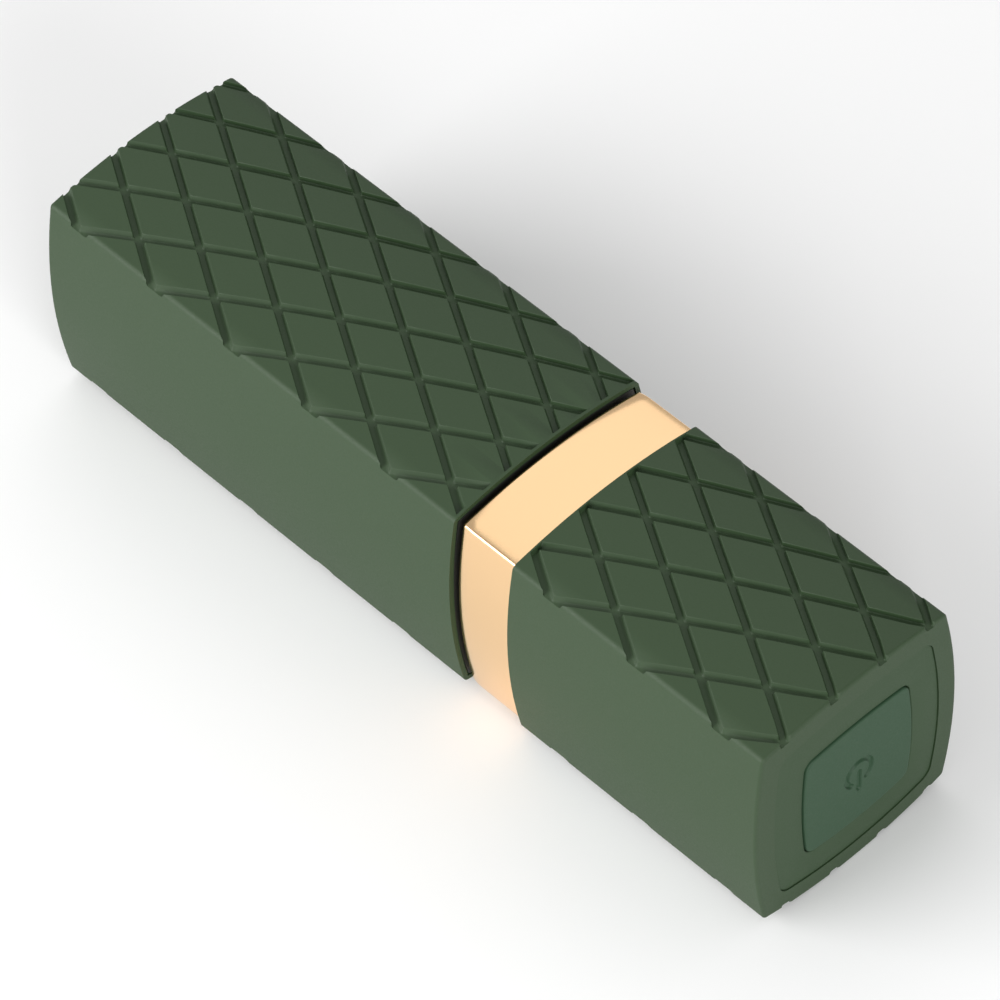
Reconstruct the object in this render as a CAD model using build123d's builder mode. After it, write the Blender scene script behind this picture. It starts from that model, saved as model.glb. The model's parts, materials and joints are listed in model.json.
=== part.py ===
"""Powered lipstick-style case: a pull-off cap over a round slanted tip, a polished collar, and a
quilted base with a push button in its end. Millimetres, lying on one quilted face.

+X runs along the case towards the button, +Z up, and the origin is the middle of the footprint."""

import os
from math import atan2, degrees, hypot, radians, tan

from build123d import *

# Outside of the case
case_length = 100.0
corner_half = 12.24  # half the distance between the long edges, before they are rounded
face_bow = 1.29  # rise of each long face between its edges
edge_radius = 0.4
rim_radius = 0.35
end_dome = 290.0
axis_height = corner_half + face_bow
cap_end = -case_length / 2
base_end = case_length / 2
cap_rim = 8.32
base_front = 16.34

# Quilting
lattice_length = 11.2  # from one diamond to the next along the case
lattice_width = 6.39  # from one diamond to the next across it
lattice_start = -45.54
lattice_aside = 0.3
groove_width = 1.0
groove_depth = 0.55
cap_border = 0.3  # plain band at the cap's mouth
lip_wall = 0.6  # skin left round the liner's flange at the mouth
lip_depth = 0.3
lip_recess = 0.05  # set-back of the flange from the rim
mouth_chamfer = 0.2
base_border = 0.3  # plain band next to the collar

# Walls
skin_wall = 1.5
liner_wall = 1.3
chassis_wall = 1.4
skin_inner = corner_half - skin_wall
liner_inner = skin_inner - liner_wall
chassis_inner = skin_inner - chassis_wall

# Collar and neck
collar_front = 8.88
collar_radius = 0.35
collar_chamfer = 0.25
collar_inset_y = 0.41
collar_inset_z = 0.31
neck_half = 9.25
neck_wall = 1.0
neck_front = -6.0
neck_edge_radius = 0.4
neck_flange = 1.0
grip_clearance = 0.07
grip_depth = 0.6
grip_from, grip_to = 2.6, 4.6
neck_boss_radius = 1.5
neck_boss_length = 7.0
neck_screw_offset = 7.6
gasket_thickness = 0.5

# Tip
tip_radius = 8.5
tip_wall = 1.2
tip_front = -45.0
tip_nose_wall = 2.0
tip_slant = 25.0
tip_edge_radius = 1.0
tip_clearance = 0.15
tip_hem = neck_front + neck_flange
core_radius = tip_radius - tip_wall
core_bore = 6.3
core_bore_front = -34.3
core_back = -3.0
core_flange_radius = 9.2

# Motor
motor_radius = 6.0
motor_from, motor_to = -26.0, -8.0
motor_wall = 0.5
magnet_inner = 4.7
rotor_radius = 4.4
bell_back = -6.6
terminal_back = -5.4
plug_back = -4.0
shaft_radius = 0.75
bearing_clearance = 0.03
weight_radius = 5.3
weight_from, weight_to = -33.0, -28.2

# Chassis
chassis_front = base_front + gasket_thickness
chassis_back = 46.2
bulkhead = 1.2
tube_radius = 7.6
tube_inner = 6.6
screw_places = [(21.5, 7.3), (21.5, -7.3), (37.0, 7.3), (37.0, -7.3)]
screw_radius = 0.8
screw_length = 8.0
screw_head_radius = 1.5
screw_head = 0.9
screw_play = 0.1
boss_radius = 1.9
boss_split = -5.0
boss_reach = 10.9
screw_seat = -10.1
saddle_places = [24.6, 33.6]
saddle_width = 1.0
saddle_slot = 4.5
ledge = 1.15
ledge_half = 8.5

# Cell and electrics
cell_radius = 5.0
cell_from, cell_to = -2.6, 37.4
tab_thickness = 0.15
pad_radius = 4.6
board_front = 40.6
board_thickness = 1.0
board_back = board_front + board_thickness
switch_side = 6.0
switch_height = 3.4
plunger_radius = 1.75
plunger_proud = 0.7
plunger_foot = 0.4
button_travel = 0.5
switch_bore = plunger_foot + button_travel + 0.1
chip_side = 3.0
lead_radius = 0.35
contact_places = [26.75, 31.75]
contact_radius = 1.3
contact_shank = 0.9
contact_recess = 0.12
magnet_radius = 1.5
magnet_height = 4.6

# End frame and button
seal_thickness = 0.4
frame_front = chassis_back + seal_thickness
flange_back = 47.6
skin_end = 49.96  # top of the dome that the rim of the end lies on
plateau_set_back = 0.12  # of the panel, below the rim round it
plateau_half = 10.05
plateau_bow = 1.0
plateau_gap = 0.06
plateau_radius = 1.0
plateau_edge = 0.2
spigot_wall = 0.9
spigot_front = 44.9
window_half = 6.9
window_bow = 0.5
window_radius = 1.0
frame_apex = skin_end - plateau_set_back
button_gap = 0.14
button_play = 0.05  # between the button and the switch it presses
button_edge = 0.15
button_flange_half = 7.7
button_flange = 0.8
button_shoulder = 48.0
icon_radius = 1.65
icon_stroke = 0.55
icon_depth = 0.25
icon_gap = 38.0  # half angle of the opening in the ring
icon_height = -0.15


def section(x):
    """Plane across the case at x, with its own x along +Y and its own y along +Z."""
    return Plane(origin=(x, 0, axis_height), x_dir=(0, 1, 0), z_dir=(1, 0, 0))


def pillow(x, half, half_z, bow, radius):
    """Square section with bowed sides and rounded corners, drawn across the case at x."""
    with BuildSketch(section(x)) as profile:
        with BuildLine():
            ThreePointArc((-half, half_z), (0, half_z + bow), (half, half_z))
            ThreePointArc((half, half_z), (half + bow, 0), (half, -half_z))
            ThreePointArc((half, -half_z), (0, -half_z - bow), (-half, -half_z))
            ThreePointArc((-half, -half_z), (-half - bow, 0), (-half, half_z))
        make_face()
        fillet(profile.vertices(), radius)
    return profile.sketch


def block(x_from, x_to, half, mode=Mode.ADD, half_z=None, bow=face_bow, radius=edge_radius):
    """Block of that section from x_from to x_to."""
    profile = pillow(x_from, half, half if half_z is None else half_z, bow, radius)
    extrude(profile, amount=x_to - x_from, mode=mode)


def disc(x_from, x_to, radius, mode=Mode.ADD, y=0.0, z=0.0):
    """Round bar along the case, on the axis or beside it."""
    with BuildSketch(section(x_from)) as profile:
        with Locations((y, z)):
            Circle(radius)
    extrude(profile.sketch, amount=x_to - x_from, mode=mode)


def slab(x_from, x_to, wide, tall, mode=Mode.ADD, y=0.0, z=0.0):
    """Rectangular bar along the case, on the axis or beside it."""
    with BuildSketch(section(x_from)) as profile:
        with Locations((y, z)):
            Rectangle(wide, tall)
    extrude(profile.sketch, amount=x_to - x_from, mode=mode)


def post(x, y, z_from, z_to, radius, mode=Mode.ADD):
    """Upright round bar, with heights measured from the axis of the case."""
    with BuildSketch(Plane.XY.offset(axis_height + z_from)) as profile:
        with Locations((x, y)):
            Circle(radius)
    extrude(profile.sketch, amount=z_to - z_from, mode=mode)


def dome(apex):
    """Trims the part being built to a shallow dome whose top is at x = apex."""
    with Locations((apex - end_dome, 0, axis_height)):
        Sphere(end_dome, mode=Mode.INTERSECT)


def quilt(x_from, x_to):
    """Cutter for the diamond grooves of the upper and lower faces between x_from and x_to."""
    angle = degrees(atan2(lattice_width, lattice_length))
    strip = 2.6 * corner_half * hypot(lattice_length, lattice_width) / lattice_width
    floor = corner_half - groove_depth
    starts = [lattice_start + n * lattice_length for n in range(-3, 13)]
    with BuildPart() as grooves:
        for side in (1, -1):
            with BuildSketch(Plane.XY.offset(axis_height + side * floor)) as lines:
                with Locations(*[(x, lattice_aside) for x in starts]):
                    Rectangle(strip, groove_width, rotation=angle)
                    Rectangle(strip, groove_width, rotation=-angle)
                with Locations(((x_from + x_to) / 2, 0)):
                    Rectangle(x_to - x_from, 4 * corner_half, mode=Mode.INTERSECT)
            extrude(lines.sketch, amount=side * (face_bow + 1.0))
        block(x_from - 1, x_to + 1, floor, Mode.SUBTRACT)
    return grooves.part


def slanted_form(radius, set_back, x_to):
    """Round bar whose front is cut to the slant of the tip, set_back behind its nose."""
    slope = tan(radians(tip_slant))
    reach = 3 * tip_radius
    top = axis_height + tip_radius
    with BuildPart() as form:
        disc(tip_front, x_to, radius)
        with BuildSketch(Plane.XZ.offset(-reach)) as cut:
            with BuildLine():
                Polyline(
                    (tip_front + set_back - reach * slope, top + reach),
                    (tip_front + set_back + reach * slope, top - reach),
                    (tip_front - reach, top - reach),
                    (tip_front - reach, top + reach),
                    close=True,
                )
            make_face()
        extrude(cut.sketch, amount=2 * reach, mode=Mode.SUBTRACT)
    return form


def lead(points):
    """Round lead along straight runs joined by arcs as large as the runs allow."""
    runs = [Vector(*b) - Vector(*a) for a, b in zip(points, points[1:])]
    bends = []
    for one, two in zip(runs, runs[1:]):
        turn = radians(one.get_angle(two))
        bends.append(0.45 * min(one.length, two.length) / tan(turn / 2))
    lifted = [(x, y, axis_height + z) for x, y, z in points]
    with BuildLine() as route:
        FilletPolyline(*lifted, radius=bends)
    with BuildSketch(Plane(origin=route.line @ 0, z_dir=route.line % 0)) as profile:
        Circle(lead_radius)
    sweep(profile.sketch, path=route.line)


def screw_upright(x, y):
    """Case screw driven upwards from under the chassis."""
    post(x, y, screw_seat - screw_head, screw_seat, screw_head_radius)
    post(x, y, screw_seat, screw_seat + screw_length, screw_radius)
    with Locations(Location((x, y, axis_height + screw_seat - screw_head))):
        Box(1.8, 0.4, 1.0, mode=Mode.SUBTRACT)
        Box(0.4, 1.8, 1.0, mode=Mode.SUBTRACT)


def screw_forward(y, z):
    """Case screw driven forwards through the bulkhead into the neck."""
    seat = chassis_front + bulkhead
    disc(seat, seat + screw_head, screw_head_radius, y=y, z=z)
    disc(seat - screw_length, seat, screw_radius, y=y, z=z)
    with Locations(Location((seat + screw_head, y, axis_height + z))):
        Box(1.0, 1.8, 0.4, mode=Mode.SUBTRACT)
        Box(1.0, 0.4, 1.8, mode=Mode.SUBTRACT)


def finish(part, name):
    """Labels a finished piece and writes it to its own file."""
    part.label = name
    export_step(part, f"parts/{name}.step")


os.makedirs("parts", exist_ok=True)
slot_from = board_front - 0.05
slot_to = board_back + 0.05
neck_screws = [(neck_screw_offset, neck_screw_offset), (-neck_screw_offset, -neck_screw_offset)]

# ---------------------------------------------------------------- cap
cap_grooves = quilt(cap_end - 2, cap_rim - cap_border)
base_grooves = quilt(base_front + base_border, base_end + 1)

with BuildPart() as cap_skin:
    block(cap_end, cap_rim, corner_half)
    fillet(cap_skin.faces().sort_by(Axis.X)[0].edges(), rim_radius)
    chamfer(cap_skin.faces().sort_by(Axis.X)[-1].edges(), mouth_chamfer)
    add(cap_grooves, mode=Mode.SUBTRACT)
    block(cap_end + skin_wall, cap_rim, skin_inner, Mode.SUBTRACT)
    block(cap_rim - lip_depth, cap_rim, corner_half - lip_wall, Mode.SUBTRACT)
finish(cap_skin.part, "cap_skin")

with BuildPart() as cap_liner:
    block(cap_end + skin_wall, cap_rim - lip_depth, skin_inner)
    block(cap_rim - lip_depth, cap_rim - lip_recess, corner_half - lip_wall)
    block(cap_end + skin_wall + liner_wall, cap_rim, liner_inner, Mode.SUBTRACT)
    block(grip_from, grip_to, liner_inner + grip_depth, Mode.SUBTRACT)
finish(cap_liner.part, "cap_liner")

with BuildPart() as cap_grip_ring:
    block(grip_from, grip_to, liner_inner + grip_depth)
    block(grip_from, grip_to, neck_half + grip_clearance, Mode.SUBTRACT)
finish(cap_grip_ring.part, "cap_grip_ring")

# ---------------------------------------------------------------- collar and neck
with BuildPart() as collar_band:
    collar_y = corner_half - collar_inset_y
    collar_z = corner_half - collar_inset_z
    block(collar_front, base_front, collar_y, half_z=collar_z, radius=collar_radius)
    chamfer(collar_band.faces().sort_by(Axis.X)[0].edges(), collar_chamfer)
    block(collar_front, base_front, neck_half, Mode.SUBTRACT)
finish(collar_band.part, "collar_band")

with BuildPart() as neck_sleeve:
    block(neck_front, base_front, neck_half)
    fillet(neck_sleeve.faces().sort_by(Axis.X)[0].edges(), neck_edge_radius)
    block(tip_hem, base_front, neck_half - neck_wall, Mode.SUBTRACT)
    disc(neck_front, tip_hem, tip_radius + tip_clearance, Mode.SUBTRACT)
    for y, z in neck_screws:
        disc(base_front - neck_boss_length, base_front, neck_boss_radius, y=y, z=z)
    for y, z in neck_screws:
        disc(base_front - neck_boss_length, base_front, screw_radius, Mode.SUBTRACT, y=y, z=z)
finish(neck_sleeve.part, "neck_sleeve")

with BuildPart() as collar_gasket:
    block(base_front, chassis_front, skin_inner - 0.2)
    disc(base_front, chassis_front, tube_radius, Mode.SUBTRACT)
    for y, z in neck_screws:
        disc(base_front, chassis_front, screw_radius + screw_play, Mode.SUBTRACT, y=y, z=z)
finish(collar_gasket.part, "collar_gasket")

# ---------------------------------------------------------------- tip
core_form = slanted_form(core_radius, tip_nose_wall, tip_hem)
tip_form = slanted_form(tip_radius, 0.0, tip_hem)

with BuildPart() as tip_skin:
    add(tip_form.part)
    fillet(tip_skin.faces().sort_by(Axis.X)[0].edges(), tip_edge_radius)
    add(core_form.part, mode=Mode.SUBTRACT)
finish(tip_skin.part, "tip_skin")

with BuildPart() as tip_core:
    add(core_form.part)
    disc(tip_hem, core_back, core_flange_radius)
    disc(core_bore_front, core_back, core_bore, Mode.SUBTRACT)
finish(tip_core.part, "tip_core")

# ---------------------------------------------------------------- motor
with BuildPart() as motor_sleeve:
    disc(motor_from, motor_to, core_bore)
    disc(motor_from, motor_to, motor_radius, Mode.SUBTRACT)
finish(motor_sleeve.part, "motor_sleeve")

with BuildPart() as motor_can:
    disc(motor_from, motor_to, motor_radius)
    fillet(motor_can.faces().sort_by(Axis.X)[0].edges(), 0.6)
    disc(motor_from - 0.9, motor_from, 2.2)
    disc(motor_from + motor_wall, motor_to, motor_radius - motor_wall, Mode.SUBTRACT)
    disc(motor_from - 1, motor_to, shaft_radius + bearing_clearance, Mode.SUBTRACT)
finish(motor_can.part, "motor_can")

with BuildPart() as motor_magnet:
    disc(motor_from + 3, motor_to - 4, motor_radius - motor_wall)
    disc(motor_from + 3, motor_to - 4, magnet_inner, Mode.SUBTRACT)
finish(motor_magnet.part, "motor_magnet")

with BuildPart() as motor_bell:
    disc(motor_to, bell_back, motor_radius)
    disc(motor_to, bell_back - 0.5, shaft_radius + bearing_clearance, Mode.SUBTRACT)
finish(motor_bell.part, "motor_bell")

with BuildPart() as motor_terminals:
    for y in (-3.0, 3.0):
        slab(bell_back, terminal_back, 0.4, 1.6, y=y)
finish(motor_terminals.part, "motor_terminals")

with BuildPart() as motor_rotor:
    disc(motor_from + 3.5, motor_to - 4.5, rotor_radius)
    fillet(motor_rotor.edges().filter_by(GeomType.CIRCLE), 0.4)
    with BuildSketch(section(motor_from + 3.5)):
        with PolarLocations(rotor_radius, 3):
            Rectangle(2.4, 0.9)
    extrude(amount=motor_to - motor_from - 8.0, mode=Mode.SUBTRACT)
    disc(motor_from, motor_to, shaft_radius, Mode.SUBTRACT)
finish(motor_rotor.part, "motor_rotor")

with BuildPart() as motor_shaft:
    disc(weight_from - 0.4, bell_back - 0.7, shaft_radius)
    chamfer(motor_shaft.edges().filter_by(GeomType.CIRCLE), 0.15)
finish(motor_shaft.part, "motor_shaft")

with BuildPart() as motor_weight:
    with BuildSketch(section(weight_from)):
        Circle(weight_radius)
        with Locations((0, weight_radius)):
            Rectangle(2 * weight_radius, 2 * weight_radius, mode=Mode.SUBTRACT)
        Circle(1.9)
        Circle(shaft_radius, mode=Mode.SUBTRACT)
    extrude(amount=weight_to - weight_from)
finish(motor_weight.part, "motor_weight")

with BuildPart() as motor_plug:
    disc(-5.0, plug_back, core_bore)
    slab(-5.0, plug_back, 4.2, 3.0, Mode.SUBTRACT, z=core_bore)
    slab(-5.0, plug_back, 2.0, 3.0, Mode.SUBTRACT, z=-core_bore)
finish(motor_plug.part, "motor_plug")

# ---------------------------------------------------------------- chassis
with BuildPart() as saddles:
    for x in saddle_places:
        block(x, x + saddle_width, chassis_inner + 0.3)
        disc(x, x + saddle_width, cell_radius + 0.1, Mode.SUBTRACT)
        slab(x, x + saddle_width, 2 * saddle_slot, 2 * (chassis_inner + 1.1), Mode.SUBTRACT)

with BuildPart() as chassis_form:
    block(chassis_front, chassis_back, skin_inner)
    block(chassis_front + bulkhead, slot_from - ledge, chassis_inner, Mode.SUBTRACT)
    block(slot_from - ledge, slot_to + ledge, ledge_half, Mode.SUBTRACT)
    block(slot_from, slot_to, chassis_inner, Mode.SUBTRACT)
    block(slot_to + ledge, chassis_back, chassis_inner, Mode.SUBTRACT)
    disc(core_back, chassis_front, tube_radius)
    disc(core_back, chassis_front + bulkhead, tube_inner, Mode.SUBTRACT)
    add(saddles.part)
    for y, z in neck_screws:
        disc(chassis_front, chassis_front + bulkhead, screw_radius + screw_play, Mode.SUBTRACT, y=y, z=z)

with BuildPart() as chassis_upper:
    add(chassis_form.part)
    split(bisect_by=Plane.XY.offset(axis_height), keep=Keep.TOP)
    for x, y in screw_places:
        post(x, y, boss_split, boss_reach, boss_radius)
    for x, y in screw_places:
        post(x, y, boss_split, screw_seat + screw_length + 0.4, screw_radius, Mode.SUBTRACT)
    for x in contact_places:
        with Locations(Location((x, skin_inner, axis_height), (90, 0, 0))):
            Cylinder(contact_shank, 4 * chassis_wall, mode=Mode.SUBTRACT)
finish(chassis_upper.part, "chassis_upper")

with BuildPart() as chassis_lower:
    add(chassis_form.part)
    split(bisect_by=Plane.XY.offset(axis_height), keep=Keep.BOTTOM)
    for x, y in screw_places:
        post(x, y, -boss_reach, boss_split, boss_radius)
    for x, y in screw_places:
        post(x, y, -corner_half, screw_seat, screw_head_radius + 0.1, Mode.SUBTRACT)
        post(x, y, screw_seat, boss_split, screw_radius + screw_play, Mode.SUBTRACT)
    for x in contact_places:
        with Locations(Location((x, skin_inner, axis_height), (90, 0, 0))):
            Cylinder(contact_shank, 4 * chassis_wall, mode=Mode.SUBTRACT)
finish(chassis_lower.part, "chassis_lower")

with BuildPart() as case_screws:
    for x, y in screw_places:
        screw_upright(x, y)
    for y, z in neck_screws:
        screw_forward(y, z)
finish(case_screws.part, "case_screws")

# ---------------------------------------------------------------- cell
with BuildPart() as cell:
    disc(cell_from, cell_to, cell_radius)
    fillet(cell.edges().filter_by(GeomType.CIRCLE), 0.5)
finish(cell.part, "cell")

with BuildPart() as cell_tabs:
    slab(cell_from - tab_thickness, cell_from, 2.4, 9.0, z=-1.4)
    slab(cell_to, cell_to + tab_thickness, 2.4, 8.0, z=1.2)
finish(cell_tabs.part, "cell_tabs")

with BuildPart() as front_pad:
    disc(plug_back, cell_from - tab_thickness, pad_radius)
finish(front_pad.part, "front_pad")

with BuildPart() as back_pad:
    disc(cell_to + tab_thickness, board_front, pad_radius)
finish(back_pad.part, "back_pad")

# ---------------------------------------------------------------- circuit
with BuildPart() as circuit_board:
    block(board_front, board_back, chassis_inner - 0.05)
finish(circuit_board.part, "circuit_board")

with BuildPart() as switch_body:
    slab(board_back, board_back + switch_height, switch_side, switch_side)
    chamfer(switch_body.edges().filter_by(Axis.X), 0.5)
    switch_top = board_back + switch_height
    disc(switch_top - switch_bore, switch_top, plunger_radius + 0.05, Mode.SUBTRACT)
finish(switch_body.part, "switch_body")

with BuildPart() as switch_plunger:
    disc(switch_top - plunger_foot, switch_top + plunger_proud, plunger_radius)
    chamfer(switch_plunger.faces().sort_by(Axis.X)[-1].edges(), 0.15)
finish(switch_plunger.part, "switch_plunger")

with BuildPart() as control_chip:
    slab(board_back, board_back + 0.9, chip_side, chip_side, y=-5.6)
finish(control_chip.part, "control_chip")

with BuildPart() as status_light:
    slab(board_back, board_back + 0.7, 1.6, 0.8, z=4.8)
finish(status_light.part, "status_light")

with BuildPart() as lead_red:
    lead([(-6.0, 3.0, 1.0), (-6.0, 1.2, 5.65), (board_front, 1.2, 5.65)])
finish(lead_red.part, "lead_red")

with BuildPart() as lead_black:
    lead([(-6.0, -3.0, 1.0), (-6.0, -1.2, 5.65), (board_front, -1.2, 5.65)])
finish(lead_black.part, "lead_black")

with BuildPart() as lead_cell:
    lead([(cell_from, 0.0, -5.5), (4.0, 0.0, -5.75), (board_front, 0.0, -5.75)])
finish(lead_cell.part, "lead_cell")

with BuildPart() as charge_leads:
    for x, y, z in ((contact_places[0], 3.3, 4.8), (contact_places[1], 3.3, -4.8)):
        lead([(x, 8.8, 0.0), (x + 0.4, 6.6, z * 0.7), (x + 1.5, y, z), (board_front, y, z)])
finish(charge_leads.part, "charge_leads")

with BuildPart() as charge_contacts:
    for x in contact_places:
        with BuildSketch(Plane.XZ.offset(-9.2)):
            with Locations((x, axis_height)):
                Circle(contact_shank)
        extrude(amount=-(skin_inner + face_bow - 9.2))
        with BuildSketch(Plane.XZ.offset(-(skin_inner + face_bow))):
            with Locations((x, axis_height)):
                Circle(contact_radius)
        extrude(amount=-(skin_wall - contact_recess))
finish(charge_contacts.part, "charge_contacts")

with BuildPart() as charge_magnets:
    for z in (-magnet_height, magnet_height):
        with BuildSketch(Plane.XZ.offset(-8.8)):
            with Locations((sum(contact_places) / 2, axis_height + z)):
                Circle(magnet_radius)
        extrude(amount=-1.2)
finish(charge_magnets.part, "charge_magnets")

# ---------------------------------------------------------------- base end
with BuildPart() as base_skin:
    block(base_front, base_end, corner_half)
    dome(skin_end)
    fillet(base_skin.faces().sort_by(Axis.X)[-1].edges(), rim_radius)
    chamfer(base_skin.faces().sort_by(Axis.X)[0].edges(), mouth_chamfer)
    add(base_grooves, mode=Mode.SUBTRACT)
    block(base_front, flange_back, skin_inner, Mode.SUBTRACT)
    opening_half = plateau_half + plateau_gap
    block(flange_back, base_end, opening_half, Mode.SUBTRACT, bow=plateau_bow, radius=plateau_radius)
    for x in contact_places:
        with Locations(Location((x, corner_half, axis_height), (90, 0, 0))):
            Cylinder(contact_radius, 4 * skin_wall, mode=Mode.SUBTRACT)
finish(base_skin.part, "base_skin")

with BuildPart() as end_seal:
    block(chassis_back, frame_front, skin_inner - 0.1)
    block(chassis_back, frame_front, chassis_inner, Mode.SUBTRACT)
finish(end_seal.part, "end_seal")

with BuildPart() as end_frame:
    block(flange_back, base_end + 1, plateau_half, bow=plateau_bow, radius=plateau_radius)
    dome(frame_apex)
    fillet(end_frame.faces().sort_by(Axis.X)[-1].edges(), plateau_edge)
    block(frame_front, flange_back, skin_inner - 0.05)
    block(spigot_front, frame_front, chassis_inner - 0.05)
    block(spigot_front, frame_front, chassis_inner - 0.05 - spigot_wall, Mode.SUBTRACT)
    pocket = button_flange_half + button_gap
    block(frame_front, button_shoulder, pocket, Mode.SUBTRACT, bow=window_bow, radius=window_radius)
    block(frame_front, base_end + 1, window_half, Mode.SUBTRACT, bow=window_bow, radius=window_radius)
finish(end_frame.part, "end_frame")

with BuildPart() as end_button:
    flange_top = button_shoulder - 0.1
    shrink = window_radius - button_gap
    block(flange_top, base_end + 1, window_half - button_gap, bow=window_bow, radius=shrink)
    dome(base_end)
    fillet(end_button.faces().sort_by(Axis.X)[-1].edges(), button_edge)
    block(flange_top - button_flange, flange_top, button_flange_half, bow=window_bow, radius=shrink)
    disc(switch_top + plunger_proud + button_play, flange_top - button_flange, plunger_radius)
    with BuildSketch(section(base_end)):
        with Locations((0, icon_height)):
            Circle(icon_radius + icon_stroke / 2)
            Circle(icon_radius - icon_stroke / 2, mode=Mode.SUBTRACT)
        with BuildLine():
            wide = tan(radians(icon_gap)) * 3
            Polyline((0, icon_height), (wide, icon_height - 3), (-wide, icon_height - 3), close=True)
        make_face(mode=Mode.SUBTRACT)
        with Locations((0, icon_height - 1.1)):
            Rectangle(icon_stroke, 2.6)
    extrude(amount=-icon_depth, mode=Mode.SUBTRACT)
finish(end_button.part, "end_button")
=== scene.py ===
import json
import math

import bmesh
import bpy
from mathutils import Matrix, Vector


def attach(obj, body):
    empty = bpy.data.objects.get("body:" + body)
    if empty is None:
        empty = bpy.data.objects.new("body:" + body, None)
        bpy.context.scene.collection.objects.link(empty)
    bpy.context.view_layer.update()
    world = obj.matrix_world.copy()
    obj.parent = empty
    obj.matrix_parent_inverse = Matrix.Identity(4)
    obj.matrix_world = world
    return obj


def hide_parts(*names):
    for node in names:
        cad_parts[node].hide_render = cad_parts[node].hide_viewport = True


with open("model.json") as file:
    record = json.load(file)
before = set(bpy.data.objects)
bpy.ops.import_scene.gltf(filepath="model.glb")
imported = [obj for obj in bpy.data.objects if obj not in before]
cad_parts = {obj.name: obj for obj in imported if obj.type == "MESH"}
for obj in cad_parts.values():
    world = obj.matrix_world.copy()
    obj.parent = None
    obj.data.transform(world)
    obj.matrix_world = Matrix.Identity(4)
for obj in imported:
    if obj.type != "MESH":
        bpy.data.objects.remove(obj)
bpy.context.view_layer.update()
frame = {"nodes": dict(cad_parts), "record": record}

MM = 0.001
NEAR = 0.01  # how close counts as at a place, in millimetres

# Shape of the case, in millimetres
HALF = 12.24  # half the distance between the long edges
BOW = 1.29  # rise of each long face between its edges
EDGE = 0.4  # rounding of the long edges
RIM = 0.35  # rounding of the ends
AXIS = HALF + BOW
DOME = 290.0  # radius of the shallow dome of the button end
CAP_END, CAP_RIM = -50.0, 8.32
BASE_FRONT, SKIN_END = 16.34, 49.96
WALL = 1.5
INSIDE = WALL - 0.14  # from the long edges to the inside of a skin
LIP_WALL, LIP_DEPTH = 0.54, 0.3
BASE_DOME_FROM = 48.0  # the dome of the base fades out towards here

# Places of the cuts that let a piece bow and round
FACE_STRIPS = 14
ROUND_CUTS = (0.0, 0.3, 0.6, 0.85)  # shares of a long edge's rounding
RIM_CUTS = (0.15, 0.4, 0.7, 1.0, 1.3)  # shares of a rim's rounding, and one past it
FRONT_CUTS = (0.08, 0.16, 0.25, 0.35)  # from the front of the base
CORNER_CUTS = (0.15, 0.3, 0.5, 0.75, 1.0)  # shares of a corner's radius

# Collar
COLLAR_FRONT, COLLAR_MIDDLE = 8.88, 12.0
COLLAR_HALF_Y, COLLAR_HALF_Z = HALF - 0.41, HALF - 0.31
COLLAR_WALL = 2.3
COLLAR_EDGE, COLLAR_RIM = 0.25, 0.3
COLLAR_STRIPS = 28
SHOULDER_LENGTH, SHOULDER_DROP = 1.6, 0.2
SHOULDER_SKIN = 1.5  # only what is this close to the outside is drawn in

# Quilting, pressed slightly deeper than in the plain parts that it covers
PITCH_X, PITCH_Y = 11.2, 6.39
START_X, START_Y = -45.54, 0.3
GROOVE = 1.0
DEPTH = 0.6
BAND = HALF - DEPTH - 0.04  # the notches in the sides reach down to here
LINE_STEP = PITCH_X * PITCH_Y / math.hypot(PITCH_X, PITCH_Y)
STEPS = ((0.5, 0.0), (0.45, 0.08), (0.36, 0.8), (0.26, 0.97), (0.0, 1.0))  # shares of width and depth

# End panel and button
PANEL_HALF, PANEL_BOW, PANEL_CORNER = 10.05, 1.0, 1.0
PANEL_APEX = 49.84
OPENING = PANEL_HALF + 0.02  # hole in the base skin round the panel
PANEL_BACK, PANEL_MIDDLE = 47.6, 48.0
PANEL_BACK_HALF = 7.84  # hole in the back of the panel, for the button's flange
PANEL_DOME_FROM = 48.5
WINDOW, WINDOW_BOW, WINDOW_CORNER = 6.9, 0.5, 1.0
PANEL_EDGE, WINDOW_EDGE = 0.08, 0.1
BUTTON_FACE = 50.0
BUTTON, BUTTON_CORNER, BUTTON_EDGE = 6.76, 0.86, 0.15
BUTTON_FLAT = 5.6  # the even cuts of the button reach out to here
BUTTON_DOME_FROM = 49.0
FLANGE, STEM = 7.7, 1.75
FLANGE_BACK, FLANGE_FRONT = 47.1, 47.9
STEM_END = 45.75
ICON_RADIUS, ICON_STROKE, ICON_DEPTH, ICON_HEIGHT = 1.65, 0.55, 0.25, -0.15
ICON_GAP = math.radians(38)
ICON_LINE_LOW, ICON_LINE_HIGH = -2.45, 0.1
ICON_SOFT = 0.16  # width of the slope at the symbol's edges
ICON_GRID, ICON_GRID_LINES, ICON_GRID_DROP = 0.075, 34, 0.4
ICON_ROOM, ICON_ROOM_BELOW = 2.9, 3.3
ICON_KEPT_SQUARE = 4.0  # corners and bow start outside this, so the symbol stays true


def clamp(value):
    return max(0.0, min(1.0, value))


# ------------------------------------------------------------------ shaping by hand
def select_none():
    for o in list(bpy.context.selected_objects):
        o.select_set(False)


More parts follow.
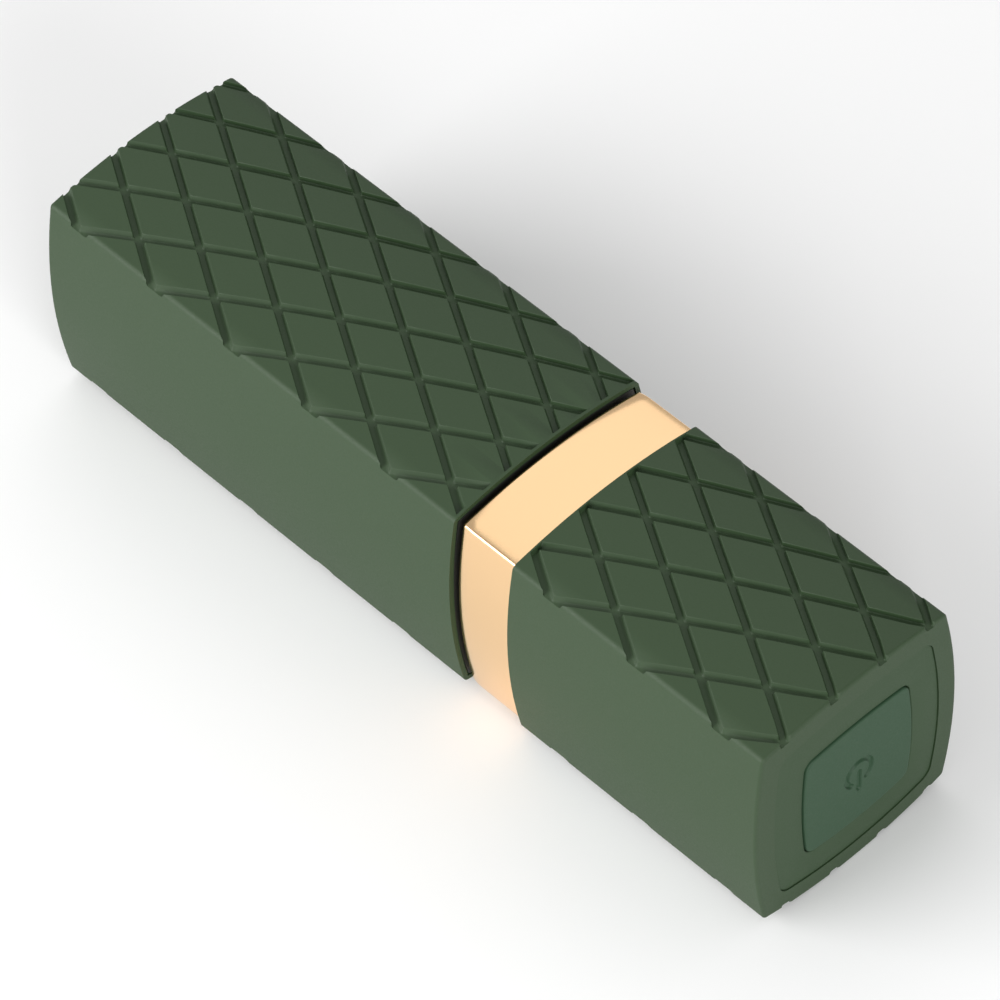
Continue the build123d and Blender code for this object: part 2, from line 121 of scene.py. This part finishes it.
def start_block(name, x0, x1, half_y, half_z=None):
    """A cube primitive between x0 and x1, left in edit mode."""
    half_z = half_y if half_z is None else half_z
    select_none()
    bpy.ops.mesh.primitive_cube_add(size=2, location=((x0 + x1) / 2 * MM, 0, AXIS * MM))
    piece = bpy.context.object
    piece.name = name
    piece.data.name = name
    piece.scale = ((x1 - x0) / 2 * MM, half_y * MM, half_z * MM)
    bpy.ops.object.transform_apply(location=True, rotation=False, scale=True)
    bpy.ops.object.mode_set(mode="EDIT")
    bpy.ops.mesh.select_all(action="DESELECT")
    return piece


def pick_faces(piece, test):
    """Selects the faces whose middle and normal, in millimetres from the axis, pass the test."""
    bpy.ops.mesh.select_mode(type="FACE")
    bpy.ops.mesh.select_all(action="DESELECT")
    bm = bmesh.from_edit_mesh(piece.data)
    for f in bm.faces:
        c = f.calc_center_median() / MM
        if test(c.x, c.y, c.z - AXIS, f.normal):
            f.select_set(True)
    bmesh.update_edit_mesh(piece.data)


def pick_edges(piece, test):
    """Selects the edges whose two ends, in millimetres from the axis, pass the test."""
    bpy.ops.mesh.select_mode(type="EDGE")
    bpy.ops.mesh.select_all(action="DESELECT")
    bm = bmesh.from_edit_mesh(piece.data)
    for e in bm.edges:
        ends = [(v.co.x / MM, v.co.y / MM, v.co.z / MM - AXIS) for v in e.verts]
        if test(ends, len(e.link_faces)):
            e.select_set(True)
    bmesh.update_edit_mesh(piece.data)


def cut_all(places, axis):
    """Cuts the whole piece by planes across one axis."""
    normal = [0.0, 0.0, 0.0]
    normal["xyz".index(axis)] = 1.0
    for place in places:
        point = [0.0, 0.0, AXIS * MM]
        point["xyz".index(axis)] += place * MM
        bpy.ops.mesh.select_all(action="SELECT")
        bpy.ops.mesh.bisect(plane_co=point, plane_no=normal, threshold=1e-7)


def end_edit():
    """Merges doubles, turns the faces outwards and leaves edit mode."""
    bpy.ops.mesh.select_all(action="SELECT")
    bpy.ops.mesh.remove_doubles(threshold=2e-6)
    bpy.ops.mesh.dissolve_degenerate(threshold=1e-7)
    bpy.ops.mesh.select_all(action="SELECT")
    bpy.ops.mesh.normals_make_consistent(inside=False)
    bpy.ops.object.mode_set(mode="OBJECT")


def sculpt(piece, move):
    """Moves every vertex by a rule, in millimetres from the axis."""
    bm = bmesh.from_edit_mesh(piece.data)
    for v in bm.verts:
        x, y, z = v.co.x / MM, v.co.y / MM, v.co.z / MM - AXIS
        x, y, z = move(x, y, z)
        v.co = Vector((x * MM, y * MM, (z + AXIS) * MM))
    bmesh.update_edit_mesh(piece.data)


def rounded(half_y, half_z, radius, ends, end_radius):
    """Rule that rounds the long edges, and the edges at the given end places."""

    def move(x, y, z):
        u = max(0.0, abs(y) - (half_y - radius)) / radius
        w = max(0.0, abs(z) - (half_z - radius)) / radius
        t, end_at, side = 0.0, None, 0
        for place, side_at in ends:
            reach = (x - place) * side_at + end_radius
            if reach > 0:
                t, end_at, side = reach / end_radius, place, side_at
        length = math.sqrt(u * u + w * w + t * t)
        if length < 1e-9 or max(u, w, t) > 1.0001:
            return x, y, z
        scale = max(u, w, t) / length
        if u > 0:
            y = math.copysign(half_y - radius + u * scale * radius, y)
        if w > 0:
            z = math.copysign(half_z - radius + w * scale * radius, z)
        if end_at is not None:
            x = end_at + side * (t * scale - 1.0) * end_radius
        return x, y, z

    return move


def bowed(half_y, half_z, bow):
    """Rule that bows the four long faces outwards."""

    def move(x, y, z):
        a = min(1.0, (z / half_z) ** 2)
        b = min(1.0, (y / half_y) ** 2)
        return x, y + y / half_y * bow * (1 - a), z + z / half_z * bow * (1 - b)

    return move


def domed(apex, from_x):
    """Rule that bends the end back to a shallow dome, fading out towards from_x."""

    def move(x, y, z):
        share = clamp((x - from_x) / (apex - from_x))
        drop = DOME - math.sqrt(DOME * DOME - y * y - z * z)
        return x - share * drop, y, z

    return move


def line_distance(x, y):
    """Distance to the nearest quilting line of each lean."""
    out = []
    for lean in (1, -1):
        phase = (x - START_X) / PITCH_X + lean * (y - START_Y) / PITCH_Y
        out.append(abs(phase - round(phase)) * LINE_STEP)
    return out


def groove_drop(distance):
    """Depth of a groove at a distance from its line."""
    d = distance / GROOVE
    for (far, low), (near, deep) in zip(STEPS, STEPS[1:]):
        if near <= d <= far:
            return DEPTH * (low + (deep - low) * (far - d) / (far - near))
    return 0.0


def quilt(piece, x_from, x_to):
    """Cuts and presses the diamond grooves into the upper and lower faces."""
    reach = HALF * 1.1 / PITCH_Y
    offsets = sorted({s * d * GROOVE for d, _ in STEPS for s in (1, -1)})
    for lean in (1, -1):
        normal = Vector((1 / PITCH_X, lean / PITCH_Y, 0)).normalized()
        low = math.floor((x_from - START_X) / PITCH_X - reach) - 1
        high = math.ceil((x_to - START_X) / PITCH_X + reach) + 1
        for n in range(low, high + 1):
            for off in offsets:
                point = Vector((START_X, START_Y, 0)) + normal * (n * LINE_STEP + off)
                pick_faces(
                    piece,
                    lambda x, y, z, m: abs(z) > BAND and x_from - NEAR < x < x_to + NEAR,
                )
                bpy.ops.mesh.bisect(
                    plane_co=(point.x * MM, point.y * MM, AXIS * MM),
                    plane_no=normal,
                    threshold=1e-7,
                )

    def press(x, y, z):
        if abs(z) > BAND - 0.001 and x_from + 0.02 < x < x_to - 0.02:
            floor = HALF - max(groove_drop(d) for d in line_distance(x, y))
            z = math.copysign(min(abs(z), floor), z)
        return x, y, z

    sculpt(piece, press)


def face_lines():
    """Places of the cuts that let a skin's faces bow and its long edges round."""
    inner = HALF - EDGE
    even = [inner * (2 * n / FACE_STRIPS - 1) for n in range(1, FACE_STRIPS)]
    edge = [BAND, inner - 0.1] + [inner + EDGE * share for share in ROUND_CUTS]
    return sorted(even + edge + [-e for e in edge])


# ------------------------------------------------------------------ materials
def group(name, inputs, outputs):
    """An empty shader node group with named inputs and outputs."""
    tree = bpy.data.node_groups.new(name, "ShaderNodeTree")
    for label, kind, value in inputs:
        socket = tree.interface.new_socket(name=label, in_out="INPUT", socket_type=kind)
        socket.default_value = value
    for label, kind in outputs:
        tree.interface.new_socket(name=label, in_out="OUTPUT", socket_type=kind)
    enter = tree.nodes.new("NodeGroupInput")
    leave = tree.nodes.new("NodeGroupOutput")
    return tree, enter, leave


def node(tree, kind, **settings):
    made = tree.nodes.new(kind)
    for key, value in settings.items():
        setattr(made, key, value)
    return made


def one_over(tree, value):
    made = node(tree, "ShaderNodeMath", operation="DIVIDE")
    made.inputs[0].default_value = 1.0
    tree.links.new(value, made.inputs[1])
    return made.outputs[0]


def make_fine_grain():
    """Fine surface grain and slow cloudiness, as masks from 0 to 1."""
    tree, enter, leave = group(
        "Fine grain",
        [("Grain size", "NodeSocketFloat", 0.0003), ("Cloud size", "NodeSocketFloat", 0.02)],
        [("Grain", "NodeSocketFloat"), ("Cloud", "NodeSocketFloat")],
    )
    place = node(tree, "ShaderNodeTexCoord")
    for label, detail, out in (("Grain size", 3.0, "Grain"), ("Cloud size", 4.0, "Cloud")):
        noise = node(tree, "ShaderNodeTexNoise")
        noise.inputs["Detail"].default_value = detail
        noise.inputs["Roughness"].default_value = 0.55
        tree.links.new(place.outputs["Object"], noise.inputs["Vector"])
        tree.links.new(one_over(tree, enter.outputs[label]), noise.inputs["Scale"])
        tree.links.new(noise.outputs["Fac"], leave.inputs[out])
    return tree


fine_grain = make_fine_grain()


def mix_colour(tree, factor, dark, light):
    """Colour that runs from dark to light; 6, 7 and 2 are the node's colour sockets."""
    made = node(tree, "ShaderNodeMix", data_type="RGBA")
    tree.links.new(factor, made.inputs["Factor"])
    made.inputs[6].default_value = (*dark, 1.0)
    made.inputs[7].default_value = (*light, 1.0)
    return made.outputs[2]


def spread(tree, factor, low, high):
    """Stretches the middle of a noise over the range from low to high."""
    made = node(tree, "ShaderNodeMapRange")
    made.inputs["From Min"].default_value = 0.3
    made.inputs["From Max"].default_value = 0.7
    made.inputs["To Min"].default_value = low
    made.inputs["To Max"].default_value = high
    tree.links.new(factor, made.inputs["Value"])
    return made.outputs["Result"]


def material(name, colour, roughness, metallic=0.0, **extra):
    """Principled finish with grain in its colour, roughness and relief."""
    made = bpy.data.materials.new(name)
    made.use_nodes = True
    tree = made.node_tree
    shader = tree.nodes["Principled BSDF"]
    grain = node(tree, "ShaderNodeGroup", node_tree=fine_grain)
    grain.inputs["Grain size"].default_value = extra.get("grain", 0.0003)
    grain.inputs["Cloud size"].default_value = extra.get("cloud", 0.02)
    shade = extra.get("shade", 0.06)
    dark = tuple(c * (1 - shade) for c in colour)
    light = tuple(min(1.0, c * (1 + shade)) for c in colour)
    base = mix_colour(tree, grain.outputs["Cloud"], dark, light)
    tree.links.new(base, shader.inputs["Base Color"])
    swing = extra.get("swing", 0.05)
    tree.links.new(
        spread(tree, grain.outputs["Grain"], roughness - swing, roughness + swing),
        shader.inputs["Roughness"],
    )
    shader.inputs["Metallic"].default_value = metallic
    if extra.get("relief"):
        bump = node(tree, "ShaderNodeBump")
        bump.inputs["Strength"].default_value = 1.0
        bump.inputs["Distance"].default_value = extra["relief"]
        tree.links.new(grain.outputs["Grain"], bump.inputs["Height"])
        tree.links.new(bump.outputs["Normal"], shader.inputs["Normal"])
    for label, value in extra.get("sockets", {}).items():
        shader.inputs[label].default_value = value
    return made


def srgb(r, g, b):
    """Linear colour of a screen colour given as 0 to 255."""
    return tuple((c / 255 / 12.92) if c <= 10 else ((c / 255 + 0.055) / 1.055) ** 2.4 for c in (r, g, b))


soft_green = material(
    "soft touch green", (0.0245, 0.052, 0.018), 0.6, grain=0.00018, relief=0.000004, shade=0.03,
)
panel_green = material(
    "end panel green", (0.026, 0.055, 0.021), 0.6, grain=0.00018, relief=0.000004, shade=0.03,
    sockets={"Specular IOR Level": 0.4},
)
button_green = material(
    "button green", (0.0215, 0.060, 0.027), 0.56, grain=0.00018, relief=0.000003, shade=0.02,
    sockets={"Specular IOR Level": 0.35},
)
tip_green = material(
    "tip silicone", (0.045, 0.078, 0.040), 0.45, grain=0.0002, relief=0.000003, shade=0.02,
    sockets={"Specular IOR Level": 0.4},
)
satin_gold = material(
    "satin gold plate", (0.93, 0.63, 0.35), 0.14, metallic=1.0,
    grain=0.00012, relief=0.0000015, shade=0.02,
)
# Painted shade: the neck's near-black colour is partly its dark moulding and partly painted shade,
# standing in for the shadow in the gap between the cap's rim and the collar.
neck_dark_painted_shade = material("neck dark with painted gap shade", srgb(20, 20, 20), 0.3, grain=0.0003, shade=0.05)
# Painted shade: the liner's dark colour is partly its moulding and partly painted shade, darkening the
# cap's mouth where the gap to the collar lies in shadow.
liner_dark_painted_shade = material("liner moulding with painted gap shade", srgb(38, 40, 38), 0.5, grain=0.0004, relief=0.000004)
seal_black = material("seal rubber", srgb(24, 24, 24), 0.65, grain=0.0003, relief=0.000004)
core_white = material("tip core moulding", srgb(205, 205, 198), 0.45, grain=0.0004, relief=0.000003)
case_grey = material("chassis moulding", srgb(48, 52, 49), 0.5, grain=0.0004, relief=0.000005)
bell_grey = material("switch moulding", srgb(30, 30, 32), 0.42, grain=0.0003)
drawn_steel = material("drawn steel", (0.5, 0.5, 0.51), 0.3, metallic=1.0, grain=0.0002, relief=0.000002)
magnet_grey = material(
    "sintered magnet", (0.05, 0.05, 0.055), 0.6, metallic=0.6, grain=0.00015, relief=0.000006,
)
plated_contact = material("plated contact", srgb(232, 190, 110), 0.18, metallic=1.0, grain=0.0002)
copper_wire = material(
    "copper winding", srgb(196, 118, 72), 0.35, metallic=1.0, grain=0.00012, relief=0.00001,
)
tungsten = material(
    "sintered tungsten", (0.28, 0.27, 0.26), 0.42, metallic=1.0, grain=0.00015, relief=0.000006,
)
nickel = material("nickel strip", (0.55, 0.53, 0.5), 0.28, metallic=1.0, grain=0.0002)
wrap_blue = material("cell wrap", srgb(40, 74, 128), 0.32, grain=0.0004, shade=0.04)
foam_grey = material("cushion foam", srgb(84, 84, 86), 0.9, grain=0.0005, relief=0.00004, shade=0.15)
board_green = material("solder mask", srgb(22, 78, 40), 0.35, grain=0.0003)
chip_black = material("chip moulding", srgb(26, 26, 27), 0.55, grain=0.0002, relief=0.000003)
lamp_clear = material("lamp lens", srgb(232, 226, 196), 0.2, grain=0.0003)
wire_red = material("red insulation", srgb(168, 26, 20), 0.4, grain=0.0004)
wire_black = material("black insulation", srgb(18, 18, 18), 0.4, grain=0.0004)
wire_white = material("white insulation", srgb(214, 214, 210), 0.4, grain=0.0004)

SLOT_MATERIALS = {
    "soft_skin": soft_green, "tip": tip_green, "end_panel": panel_green, "button": button_green,
    "liner": liner_dark_painted_shade, "gold": satin_gold, "neck": neck_dark_painted_shade, "seal": seal_black,
    "core": core_white, "steel": drawn_steel, "magnet": magnet_grey, "bell": bell_grey,
    "contact": plated_contact, "winding": copper_wire, "weight": tungsten, "chassis": case_grey,
    "cell_wrap": wrap_blue, "nickel": nickel, "foam": foam_grey, "board": board_green,
    "chip": chip_black, "lamp": lamp_clear, "lead_red": wire_red, "lead_black": wire_black,
    "lead_white": wire_white,
}

for part in frame["record"]["subparts"]:
    made = frame["nodes"][part["node"]]
    made.data.materials.clear()
    made.data.materials.append(SLOT_MATERIALS[part["material_slot"]])


# ------------------------------------------------------------------ pieces
def settle(piece, look, body, nodes):
    """Finishes a piece: smooth shading, its material, the body it rides and the nodes it stands for."""
    piece.data.materials.clear()
    piece.data.materials.append(look)
    select_none()
    piece.select_set(True)
    bpy.context.view_layer.objects.active = piece
    bpy.ops.object.shade_smooth_by_angle(angle=math.radians(35))
    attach(piece, body)
    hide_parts(*nodes)


def hollow_end(piece, at, inset, depth):
    """Insets the end face at x = at and pushes it along x by depth."""
    pick_faces(piece, lambda x, y, z, n: abs(x - at) < NEAR and max(abs(y), abs(z)) < 0.1)
    bpy.ops.mesh.inset(thickness=inset * MM, depth=0, use_even_offset=True)
    bpy.ops.mesh.extrude_region_move(TRANSFORM_OT_translate={"value": (depth * MM, 0, 0)})


def open_through(piece, at):
    """Removes the faces left at x = at and joins the two open loops there."""
    pick_faces(piece, lambda x, y, z, n: abs(x - at) < NEAR and max(abs(y), abs(z)) < 0.1)
    bpy.ops.mesh.delete(type="FACE")
    pick_edges(piece, lambda ends, faces: faces == 1 and all(abs(x - at) < NEAR for x, _, _ in ends))
    bpy.ops.mesh.bridge_edge_loops()
    bpy.ops.mesh.select_mode(type="FACE")


def soften_edges(piece, at, half, offset, segments):
    """Bevels the square of edges at x = at whose sides are half away from the axis."""
    pick_edges(
        piece,
        lambda ends, faces: all(
            abs(x - at) < NEAR and abs(max(abs(y), abs(z)) - half) < 2 * NEAR for x, y, z in ends
        ),
    )
    bpy.ops.mesh.bevel(offset=offset * MM, segments=segments, profile=0.5)
    bpy.ops.mesh.select_mode(type="FACE")


def nested(corner, bow):
    """Rule that turns each square ring round the axis into a bowed one with rounded corners."""

    def move(x, y, z):
        m = max(abs(y), abs(z))
        if m < 1e-6:
            return x, y, z
        radius = max(1e-6, min(m, corner(x, m)))
        u = max(0.0, abs(y) - (m - radius)) / radius
        w = max(0.0, abs(z) - (m - radius)) / radius
        if u > 0 and w > 0:
            scale = max(u, w) / math.hypot(u, w)
            y = math.copysign(m - radius + u * scale * radius, y)
            z = math.copysign(m - radius + w * scale * radius, z)
        rise = bow(x, m)
        a, b = min(1.0, (z / m) ** 2), min(1.0, (y / m) ** 2)
        return x, y + y / m * rise * (1 - a), z + z / m * rise * (1 - b)

    return move


def cap_skin_piece():
    """Quilted skin of the cap, open at its mouth."""
    skin = start_block("cap_skin_soft", CAP_END, CAP_RIM, HALF)
    hollow_end(skin, CAP_RIM, LIP_WALL, -LIP_DEPTH)
    hollow_end(skin, CAP_RIM - LIP_DEPTH, INSIDE - LIP_WALL, CAP_END + WALL - CAP_RIM + LIP_DEPTH)
    cut_all(face_lines(), "y")
    cut_all(face_lines(), "z")
    edge = [RIM * share for share in RIM_CUTS]
    mouth = [0.06, 0.14, LIP_DEPTH + 0.02, LIP_DEPTH + 0.1]
    cut_all([CAP_END + e for e in edge] + [CAP_RIM - e for e in mouth], "x")
    quilt(skin, CAP_END - 1, CAP_RIM - LIP_DEPTH - 0.02)
    sculpt(skin, rounded(HALF, HALF, EDGE, ((CAP_END, -1),), RIM))
    sculpt(skin, bowed(HALF, HALF, BOW))
    end_edit()
    settle(skin, soft_green, "cap", ["cap_skin"])


def base_skin_piece():
    """Quilted skin of the base, open at the collar and round the end panel."""
    skin = start_block("base_skin_soft", BASE_FRONT, SKIN_END, HALF)
    hollow_end(skin, SKIN_END, HALF - OPENING, PANEL_BACK - SKIN_END)
    hollow_end(skin, BASE_FRONT, INSIDE, PANEL_BACK - BASE_FRONT)
    open_through(skin, PANEL_BACK)
    corner = [OPENING - PANEL_CORNER * share for share in CORNER_CUTS]
    lines = face_lines() + corner + [-c for c in corner]
    cut_all(lines, "y")
    cut_all(lines, "z")
    edge = [RIM * share for share in RIM_CUTS]
    cut_all([SKIN_END - e for e in edge] + [BASE_FRONT + e for e in FRONT_CUTS], "x")
    quilt(skin, BASE_FRONT + 0.2, SKIN_END + 1)
    sculpt(skin, rounded(HALF, HALF, EDGE, ((SKIN_END, 1),), RIM))
    outside = bowed(HALF, HALF, BOW)
    opening = nested(lambda x, m: PANEL_CORNER, lambda x, m: PANEL_BOW)

    def shape(x, y, z):
        round_panel = x > PANEL_BACK - NEAR and abs(max(abs(y), abs(z)) - OPENING) < NEAR
        return opening(x, y, z) if round_panel else outside(x, y, z)

    sculpt(skin, shape)
    sculpt(skin, domed(SKIN_END, BASE_DOME_FROM))
    end_edit()
    settle(skin, soft_green, "case", ["base_skin"])


def collar_piece():
    """Polished band between cap and base, with a soft shoulder on the cap's side."""
    band = start_block("collar_gold", COLLAR_FRONT, BASE_FRONT, COLLAR_HALF_Y, COLLAR_HALF_Z)
    hollow_end(band, COLLAR_FRONT, COLLAR_WALL, COLLAR_MIDDLE - COLLAR_FRONT)
    hollow_end(band, BASE_FRONT, COLLAR_WALL, COLLAR_MIDDLE - BASE_FRONT)
    open_through(band, COLLAR_MIDDLE)
    for half, axis in ((COLLAR_HALF_Y, "y"), (COLLAR_HALF_Z, "z")):
        inner = half - COLLAR_EDGE
        even = [inner * (2 * n / COLLAR_STRIPS - 1) for n in range(1, COLLAR_STRIPS)]
        close = [side * (inner + COLLAR_EDGE * share) for side in (1, -1) for share in ROUND_CUTS]
        cut_all(even + close, axis)
    rings = (0.05, 0.12, 0.2, 0.3, 0.45, 0.7, 1.0, 1.3, SHOULDER_LENGTH)
    cut_all([COLLAR_FRONT + ring for ring in rings], "x")
    sculpt(band, rounded(COLLAR_HALF_Y, COLLAR_HALF_Z, COLLAR_EDGE, ((COLLAR_FRONT, -1),), COLLAR_RIM))

    def shoulder(x, y, z):
        if max(abs(y), abs(z)) <= COLLAR_HALF_Y - SHOULDER_SKIN:
            return x, y, z
        share = max(0.0, (COLLAR_FRONT + SHOULDER_LENGTH - x) / SHOULDER_LENGTH) ** 2
        keep = 1 - SHOULDER_DROP * share / COLLAR_HALF_Y
        return x, y * keep, z * keep

    sculpt(band, shoulder)
    sculpt(band, bowed(COLLAR_HALF_Y, COLLAR_HALF_Z, BOW))
    end_edit()
    settle(band, satin_gold, "case", ["collar_band"])


def end_panel_piece():
    """Panel set slightly back in the end, with the window that the button works in."""
    panel = start_block("end_panel_soft", PANEL_BACK, PANEL_APEX, PANEL_HALF)
    hollow_end(panel, PANEL_APEX, PANEL_HALF - WINDOW, PANEL_MIDDLE - PANEL_APEX)
    hollow_end(panel, PANEL_BACK, PANEL_HALF - PANEL_BACK_HALF, PANEL_MIDDLE - PANEL_BACK)
    open_through(panel, PANEL_MIDDLE)
    soften_edges(panel, PANEL_APEX, PANEL_HALF, PANEL_EDGE, 2)
    soften_edges(panel, PANEL_APEX, WINDOW, WINDOW_EDGE, 3)
    places = [WINDOW * (2 * n / 16 - 1) for n in range(1, 16)]
    for half in (WINDOW, PANEL_HALF):
        for inside in (0.15, 0.3, 0.5, 0.8, 1.1):
            places += [half - inside, inside - half]
    cut_all(places, "y")
    cut_all(places, "z")

    def outer_share(m):
        return clamp((m - WINDOW) / (PANEL_HALF - WINDOW))

    def bow(x, m):
        return WINDOW_BOW + outer_share(m) * (PANEL_BOW - WINDOW_BOW)

    def corner(x, m):
        return WINDOW_CORNER + outer_share(m) * (PANEL_CORNER - WINDOW_CORNER)

    sculpt(panel, nested(corner, bow))
    sculpt(panel, domed(PANEL_APEX, PANEL_DOME_FROM))
    end_edit()
    settle(panel, panel_green, "case", ["end_frame"])


def icon_depth(y, z):
    """Depth of the pressed on/off symbol at a point of the button's face."""
    z -= ICON_HEIGHT
    angle = math.atan2(abs(y), -z)
    if angle > ICON_GAP:
        ring = abs(math.hypot(y, z) - ICON_RADIUS)
    else:
        end_y, end_z = ICON_RADIUS * math.sin(ICON_GAP), ICON_RADIUS * math.cos(ICON_GAP)
        ring = math.hypot(abs(y) - end_y, z + end_z)
    line = math.hypot(y, z - max(ICON_LINE_LOW, min(ICON_LINE_HIGH, z)))
    inside = ICON_STROKE / 2 - min(ring, line)
    share = clamp(inside / ICON_SOFT + 0.5)
    return ICON_DEPTH * share * share * (3 - 2 * share)


def button_piece():
    """Push button with its retaining flange, its stem and the pressed symbol."""
    button = start_block("end_button_soft", FLANGE_BACK, FLANGE_FRONT, FLANGE)
    hollow_end(button, FLANGE_FRONT, FLANGE - BUTTON, BUTTON_FACE - FLANGE_FRONT)
    hollow_end(button, FLANGE_BACK, FLANGE - STEM, STEM_END - FLANGE_BACK)
    soften_edges(button, BUTTON_FACE, BUTTON, BUTTON_EDGE, 4)
    places = [BUTTON_FLAT * (2 * n / 12 - 1) for n in range(13)]
    for half in (BUTTON, FLANGE):
        for inside in (0.15, 0.3, 0.5, 0.7):
            places += [half - inside, inside - half]
    places += [STEM * share for share in (-0.92, -0.7, -0.4, 0, 0.4, 0.7, 0.92)]
    cut_all(places, "y")
    cut_all(places, "z")
    for normal, drop in (((0, 1, 0), 0.0), ((0, 0, 1), ICON_GRID_DROP)):
        for n in range(-ICON_GRID_LINES, ICON_GRID_LINES + 1):
            place = n * ICON_GRID - drop
            point = Vector(normal) * place * MM + Vector((0, 0, AXIS * MM))
            pick_faces(
                button,
                lambda x, y, z, m: x > BUTTON_FACE - NEAR
                and abs(y) < ICON_ROOM
                and -ICON_ROOM_BELOW < z < ICON_ROOM,
            )
            bpy.ops.mesh.bisect(plane_co=point, plane_no=normal, threshold=1e-7)
    sculpt(button, lambda x, y, z: (x - icon_depth(y, z) if x > BUTTON_FACE - NEAR else x, y, z))

    def outer_share(m):
        return clamp((m - ICON_KEPT_SQUARE) / (BUTTON - ICON_KEPT_SQUARE))

    def corner(x, m):
        on_stem = x < FLANGE_BACK - NEAR
        return m if on_stem else BUTTON_CORNER * outer_share(m)

    def bow(x, m):
        on_stem = x < FLANGE_BACK - NEAR
        return 0.0 if on_stem else WINDOW_BOW * outer_share(m)

    sculpt(button, nested(corner, bow))
    sculpt(button, domed(BUTTON_FACE, BUTTON_DOME_FROM))
    end_edit()
    settle(button, button_green, "button", ["end_button"])


cap_skin_piece()
base_skin_piece()
collar_piece()
end_panel_piece()
button_piece()

# ------------------------------------------------------------------ stage
select_none()
bpy.ops.mesh.primitive_plane_add(size=6.0, location=(0, 0, 0))
floor = bpy.context.object
floor.name = "studio_floor"
floor_look = bpy.data.materials.new("pale floor")
floor_look.use_nodes = True
floor_shader = floor_look.node_tree.nodes["Principled BSDF"]
floor_shader.inputs["Base Color"].default_value = (0.93, 0.93, 0.93, 1)
floor_shader.inputs["Roughness"].default_value = 0.9
floor_shader.inputs["Specular IOR Level"].default_value = 0.1
floor.data.materials.append(floor_look)


def lamp(name, place, target, size, power):
    """A soft rectangular lamp that points at the target."""
    data = bpy.data.lights.new(name, "AREA")
    data.shape = "RECTANGLE"
    data.size = size[0]
    data.size_y = size[1]
    data.energy = power
    made = bpy.data.objects.new(name, data)
    bpy.context.scene.collection.objects.link(made)
    made.location = place
    made.rotation_euler = (Vector(target) - Vector(place)).to_track_quat("-Z", "Y").to_euler()


middle = (0, 0, 0.013)
lamp("front softbox", (-0.45, -0.8, 0.4), middle, (0.9, 0.6), 9.0)
lamp("end softbox", (0.85, -0.35, 0.4), middle, (0.5, 0.4), 5.6)
lamp("back softbox", (-0.48, 0.42, 0.77), middle, (0.75, 0.75), 1.1)

world = bpy.data.worlds.new("studio")
bpy.context.scene.world = world
world.use_nodes = True
world.node_tree.nodes["Background"].inputs["Color"].default_value = (1, 1, 1, 1)
world.node_tree.nodes["Background"].inputs["Strength"].default_value = 0.53

camera_data = bpy.data.cameras.new("camera")
camera = bpy.data.objects.new("camera", camera_data)
bpy.context.scene.collection.objects.link(camera)
camera_data.lens = 235.97
camera_data.sensor_width = 36.0
camera_data.clip_start = 0.05
camera_data.clip_end = 20.0
camera.location = (0.31037, -0.27113, 0.50377)
camera.rotation_euler = tuple(math.radians(a) for a in (39.8797, 2.1573, 46.1786))
bpy.context.scene.camera = camera
bpy.context.scene.view_settings.view_transform = "Standard"
